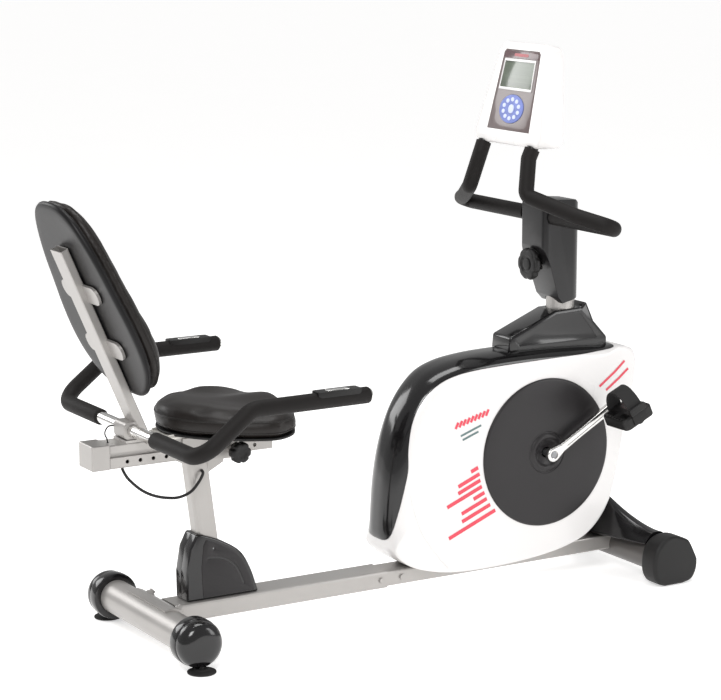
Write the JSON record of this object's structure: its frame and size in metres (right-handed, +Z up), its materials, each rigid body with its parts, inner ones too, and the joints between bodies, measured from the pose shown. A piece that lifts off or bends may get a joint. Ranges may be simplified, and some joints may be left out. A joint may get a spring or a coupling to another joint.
{
  "type": "recumbent exercise bike",
  "caption": "Recumbent exercise bike: sliding seat with backrest and side handlebar, white drive housing, strapped pedals, tilting front handlebar with console, floor frame.",
  "frame": {"origin": "on the floor under the centre of the bounding box", "axes": "+X from the seat towards the console, +Y to the rider's left, +Z up"},
  "size_m": [1.4444, 0.6628, 1.1805],
  "materials": {
    "silver_paint": "satin silver-grey enamel",
    "dark_paint": "satin charcoal enamel",
    "chrome": "polished",
    "steel": "bare",
    "iron": "machined",
    "white_shell": "gloss white",
    "black_gloss": "gloss black",
    "charcoal": "satin charcoal",
    "soft_black": "matt foam and rubber",
    "hide": "grained charcoal leatherette",
    "face": "dark satin label",
    "lens": "grey-green display window",
    "keys": "blue rubber keys"
  },
  "bodies": {
    "frame": {"rear_beam": "silver_paint", "front_beam": "silver_paint", "rear_foot_tube": "silver_paint", "front_foot_tube": "dark_paint", "rear_cap_right": "black_gloss", "rear_cap_left": "black_gloss", "front_cap_right": "charcoal", "front_cap_left": "charcoal", "front_foot_cover": "black_gloss", "housing_shell_right": "white_shell", "housing_shell_left": "white_shell", "housing_top_cover": "black_gloss", "disc_cover_right": "charcoal", "disc_cover_left": "charcoal", "mast_boot": "black_gloss", "mast_tube": "silver_paint", "mast_head_cover": "charcoal", "crank_bearing_housing": "steel", "flywheel_bracket": "steel", "drive_belt": "soft_black", "seat_post": "silver_paint", "post_cover_right": "black_gloss", "post_cover_left": "black_gloss", "slide_cradle": "silver_paint", "seat_lead": "soft_black"},
    "crank": {"crank_spindle_and_pulley": "steel", "crank_arm_right": "chrome", "crank_arm_left": "chrome"},
    "right_pedal": {"pedal_right": "charcoal"},
    "left_pedal": {"pedal_left": "charcoal"},
    "flywheel_group": {"flywheel": "iron"},
    "idler": {"belt_idler": "steel"},
    "brake": {"magnet_brake_arm": "steel"},
    "carriage": {"seat_rail": "silver_paint", "rail_end_block": "silver_paint", "seat_bracket": "silver_paint", "seat_pad": "hide", "back_shell": "charcoal", "back_pad": "hide", "back_post": "silver_paint", "side_handlebar_tube": "chrome", "side_grip_right": "soft_black", "side_grip_left": "soft_black", "pulse_sensor_right": "chrome", "pulse_sensor_left": "chrome", "sensor_wire": "soft_black"},
    "pull_pin": {"pull_pin_knob": "charcoal"},
    "front_handlebar": {"front_handlebar_tube": "dark_paint", "front_grip_right": "soft_black", "front_grip_left": "soft_black", "console_body": "white_shell", "console_face_panel": "face", "display_lens": "lens"},
    "key_ring": {"keypad_ring": "keys"},
    "key_centre": {"keypad_centre_button": "keys"},
    "clamp_screw": {"clamp_knob": "charcoal"},
    "right_leveler": {"leveler_right": "soft_black"},
    "left_leveler": {"leveler_left": "soft_black"},
    "right_wheel": {"transport_wheel_right": "soft_black"},
    "left_wheel": {"transport_wheel_left": "soft_black"}
  },
  "joints": [
    {"name": "flywheel_spin", "type": "hinge", "parent": "frame", "child": "flywheel_group", "pos_m": [0.18192, 0, 0.288], "axis": [0, 1, 0], "continuous": true},
    {"name": "crank_spin", "type": "hinge", "parent": "frame", "child": "crank", "pos_m": [0.41192, 0, 0.3], "axis": [0, 1, 0], "continuous": true},
    {"name": "idler_spin", "type": "hinge", "parent": "frame", "child": "idler", "pos_m": [0.243, 0, 0.22195], "axis": [0, 1, 0], "continuous": true},
    {"name": "right_pedal_spin", "type": "hinge", "parent": "crank", "child": "right_pedal", "pos_m": [0.55914, -0.16, 0.385], "axis": [0, 1, 0], "continuous": true},
    {"name": "left_pedal_spin", "type": "hinge", "parent": "crank", "child": "left_pedal", "pos_m": [0.26469, 0.16, 0.215], "axis": [0, 1, 0], "continuous": true},
    {"name": "brake_swing", "type": "hinge", "parent": "frame", "child": "brake", "pos_m": [0.17192, 0, 0.43], "axis": [0, 1, 0], "range_deg": [0, 4]},
    {"name": "seat_slide", "type": "slide", "parent": "frame", "child": "carriage", "axis": [1, 0, 0], "range_m": [-0.057, 0.114]},
    {"name": "pin_pull", "type": "slide", "parent": "frame", "child": "pull_pin", "axis": [0, -1, 0], "range_m": [0, 0.01], "stiffness_N_per_m": 1500, "springref_m": -0.01},
    {"name": "handlebar_tilt", "type": "hinge", "parent": "frame", "child": "front_handlebar", "pos_m": [0.43392, 0, 0.81], "axis": [0, 1, 0], "range_deg": [-12, 15]},
    {"name": "ring_press", "type": "slide", "parent": "front_handlebar", "child": "key_ring", "axis": [0.976, 0, -0.2179], "range_m": [0, 0.0008], "stiffness_N_per_m": 1200, "springref_m": -0.0008},
    {"name": "centre_press", "type": "slide", "parent": "front_handlebar", "child": "key_centre", "axis": [0.976, 0, -0.2179], "range_m": [0, 0.0008], "stiffness_N_per_m": 600, "springref_m": -0.0008},
    {"name": "clamp_turn", "type": "hinge", "parent": "frame", "child": "clamp_screw", "pos_m": [0.41192, 0, 0.705], "axis": [1, 0, 0], "continuous": true},
    {"name": "right_leveler_turn", "type": "hinge", "parent": "frame", "child": "right_leveler", "pos_m": [-0.50808, -0.214, 0.02], "axis": [0, 0, 1], "continuous": true},
    {"name": "left_leveler_turn", "type": "hinge", "parent": "frame", "child": "left_leveler", "pos_m": [-0.50808, 0.214, 0.02], "axis": [0, 0, 1], "continuous": true},
    {"name": "right_wheel_roll", "type": "hinge", "parent": "frame", "child": "right_wheel", "pos_m": [0.69792, -0.188, 0.0265], "axis": [0, 1, 0], "continuous": true},
    {"name": "left_wheel_roll", "type": "hinge", "parent": "frame", "child": "left_wheel", "pos_m": [0.69792, 0.188, 0.0265], "axis": [0, 1, 0], "continuous": true}
  ],
  "couplings": [
    {"joint": "crank_spin", "follows": "flywheel_spin", "ratio": 0.12712},
    {"joint": "idler_spin", "follows": "flywheel_spin", "ratio": -0.83333}
  ]
}
